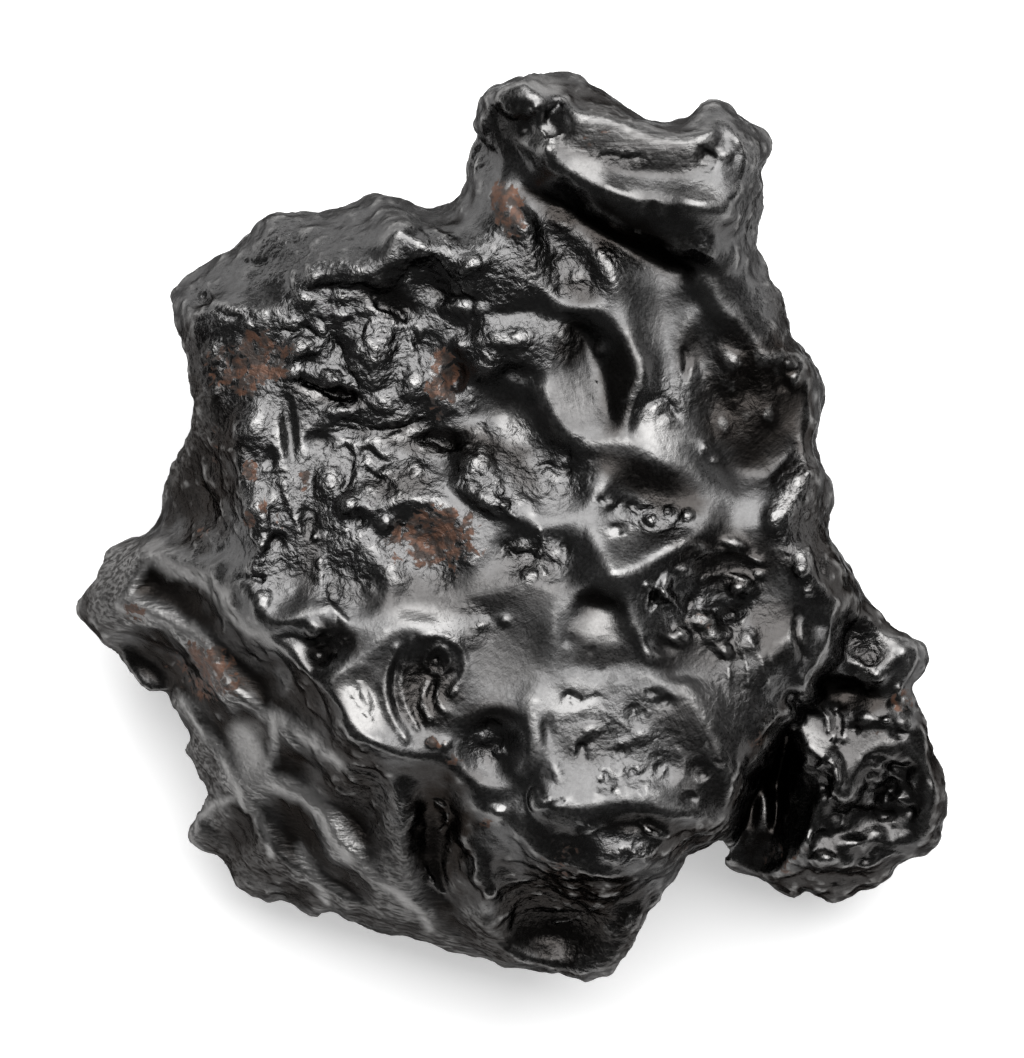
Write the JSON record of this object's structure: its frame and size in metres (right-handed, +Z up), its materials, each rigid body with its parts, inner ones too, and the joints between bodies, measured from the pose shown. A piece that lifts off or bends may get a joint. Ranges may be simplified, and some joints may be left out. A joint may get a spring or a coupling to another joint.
{
  "type": "iron meteorite",
  "caption": "Hand-sized lump of meteoric iron with a glossy black crust, thumbprint hollows and worn ridges.",
  "frame": {"origin": "bottom centre of the stone's box as it lies, on the surface that it rests on", "axes": "+Z up out of the main face, +Y towards the knob at the far end of the stone, +X to the right"},
  "size_m": [0.1224, 0.1276, 0.0592],
  "materials": {
    "iron_crust": "glossy blue-black fusion crust with rust-brown patches"
  },
  "bodies": {
    "root": {"meteorite": "iron_crust"}
  },
  "joints": []
}
